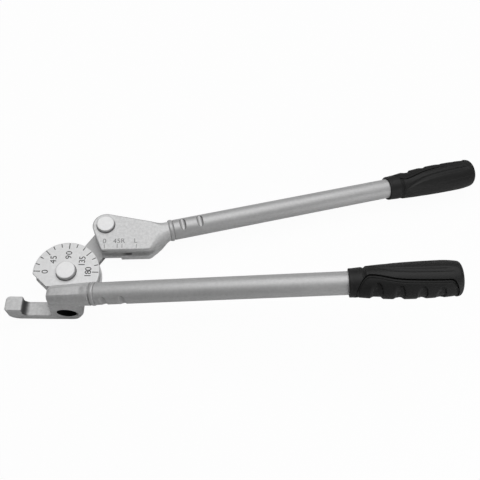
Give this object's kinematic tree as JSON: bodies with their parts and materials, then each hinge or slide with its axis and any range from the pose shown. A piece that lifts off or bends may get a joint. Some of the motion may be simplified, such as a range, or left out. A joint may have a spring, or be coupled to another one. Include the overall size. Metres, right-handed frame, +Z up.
{
  "type": "tube bending pliers",
  "caption": "Two-handled tube bender: a grooved round die with an angle scale and a tube hook on a cranked fixed handle, and a slide shoe on a swinging handle joined by a link.",
  "frame": {"origin": "on the die axis at the mid-height of the tube groove", "axes": "+Z up along the die axis out of the scale face, +X towards the handle grips, +Y away from the fixed handle towards the swinging handle"},
  "size_m": [0.4489, 0.1879, 0.1127],
  "materials": {
    "die_steel": "fine satin plating, light grey",
    "forged_steel": "blasted and plated forging, matt mid grey",
    "shoe_steel": "blasted and plated forging, matt light grey",
    "tube_steel": "satin plated tube",
    "link_steel": "satin plated plate",
    "pin_steel": "bright turned steel",
    "screw_steel": "plain hardened steel",
    "bush_bronze": "sintered bronze",
    "grip_hard": "black moulded plastic, slight sheen",
    "grip_soft": "black soft-touch rubber"
  },
  "bodies": {
    "fixed_handle": {"bending_die": "die_steel", "fixed_head": "forged_steel", "die_screw": "screw_steel", "die_dowels": "screw_steel", "die_pin": "pin_steel", "die_pin_washer": "screw_steel", "die_pin_clip": "screw_steel", "fixed_tube": "tube_steel", "fixed_collar": "tube_steel", "fixed_grip": "grip_hard", "fixed_grip_inlay": "grip_soft"},
    "link": {"link_plate": "link_steel", "link_bush_die": "bush_bronze", "link_bush_shoe": "bush_bronze", "die_thrust_washer": "bush_bronze", "shoe_thrust_washer": "bush_bronze"},
    "shoe_handle": {"shoe_head": "shoe_steel", "shoe_pin": "pin_steel", "shoe_pin_washer": "screw_steel", "shoe_pin_clip": "screw_steel", "shoe_tube": "tube_steel", "shoe_collar": "tube_steel", "shoe_grip": "grip_hard", "shoe_grip_inlay": "grip_soft"}
  },
  "joints": [
    {"name": "link_swing", "type": "hinge", "parent": "fixed_handle", "child": "link", "pos_m": [0, 0, 0], "axis": [0, 0, 1], "range_deg": [-57.6, 122.4]},
    {"name": "handle_swing", "type": "hinge", "parent": "link", "child": "shoe_handle", "pos_m": [0.03027, 0.0477, 0], "axis": [0, 0, 1], "range_deg": [-34.9, 50]}
  ]
}
